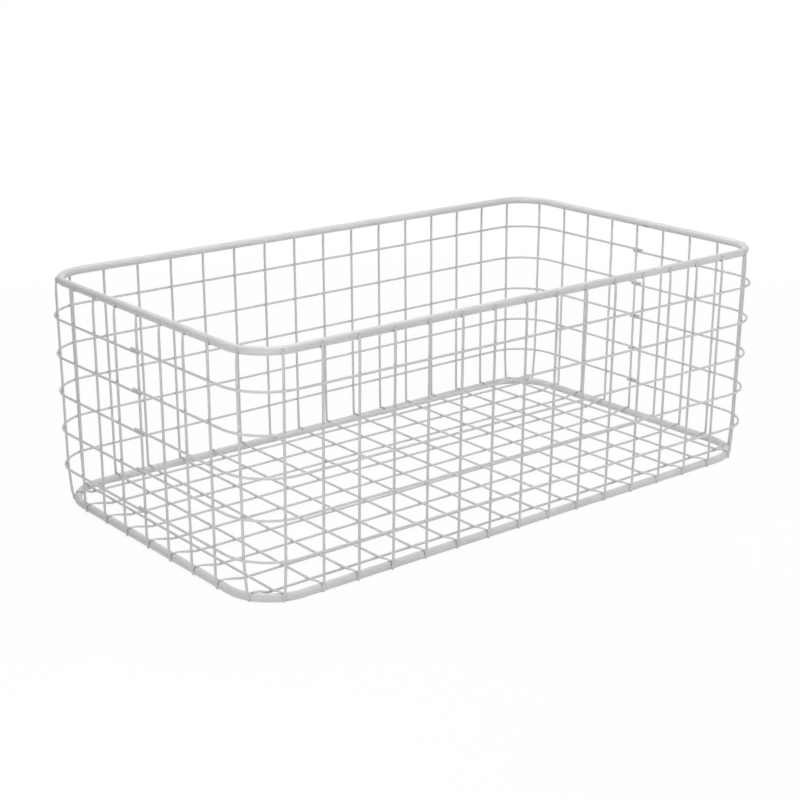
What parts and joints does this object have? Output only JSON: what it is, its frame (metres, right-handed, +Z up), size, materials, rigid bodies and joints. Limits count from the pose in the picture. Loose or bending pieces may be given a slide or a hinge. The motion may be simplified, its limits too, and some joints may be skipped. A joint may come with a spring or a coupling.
{
  "type": "wire locker basket",
  "caption": "Open rectangular basket of welded steel wire with a thick rod round the rim and base, hooped sides and a wire grid floor, for storing things in a locker.",
  "frame": {"origin": "under the middle of the basket, on the plane its base ring stands on", "axes": "+X along the length, +Y across, +Z up"},
  "size_m": [0.505, 0.2886, 0.1785],
  "materials": {
    "coated_rod": "satin",
    "coated_wire": "satin"
  },
  "bodies": {
    "root": {"top_rim": "coated_rod", "base_ring": "coated_rod", "hoop_1": "coated_wire", "hoop_2": "coated_wire", "hoop_3": "coated_wire", "hoop_4": "coated_wire", "hoop_5": "coated_wire", "long_side_upright_pair_01": "coated_wire", "long_side_upright_pair_02": "coated_wire", "long_side_upright_pair_03": "coated_wire", "long_side_upright_pair_04": "coated_wire", "long_side_upright_pair_05": "coated_wire", "long_side_upright_pair_06": "coated_wire", "long_side_upright_pair_07": "coated_wire", "long_side_upright_pair_08": "coated_wire", "long_side_upright_pair_09": "coated_wire", "long_side_upright_pair_10": "coated_wire", "long_side_upright_pair_11": "coated_wire", "long_side_upright_pair_12": "coated_wire", "long_side_upright_pair_13": "coated_wire", "long_side_upright_pair_14": "coated_wire", "long_side_upright_pair_15": "coated_wire", "long_side_upright_pair_16": "coated_wire", "end_upright_pair_1": "coated_wire", "end_upright_pair_2": "coated_wire", "end_upright_pair_3": "coated_wire", "end_upright_pair_4": "coated_wire", "end_upright_pair_5": "coated_wire", "end_upright_pair_6": "coated_wire", "end_upright_pair_7": "coated_wire", "end_upright_pair_8": "coated_wire", "end_upright_pair_9": "coated_wire", "floor_cross_wire_01": "coated_wire", "floor_cross_wire_02": "coated_wire", "floor_cross_wire_03": "coated_wire", "floor_cross_wire_04": "coated_wire", "floor_cross_wire_05": "coated_wire", "floor_cross_wire_06": "coated_wire", "floor_cross_wire_07": "coated_wire", "floor_cross_wire_08": "coated_wire", "floor_cross_wire_09": "coated_wire", "floor_cross_wire_10": "coated_wire", "floor_cross_wire_11": "coated_wire", "floor_cross_wire_12": "coated_wire", "floor_cross_wire_13": "coated_wire", "floor_cross_wire_14": "coated_wire", "floor_cross_wire_15": "coated_wire", "floor_cross_wire_16": "coated_wire", "floor_long_wire_1": "coated_wire", "floor_long_wire_2": "coated_wire", "floor_long_wire_3": "coated_wire", "floor_long_wire_4": "coated_wire", "floor_long_wire_5": "coated_wire", "floor_long_wire_6": "coated_wire", "floor_long_wire_7": "coated_wire", "floor_long_wire_8": "coated_wire", "floor_long_wire_9": "coated_wire"}
  },
  "joints": []
}
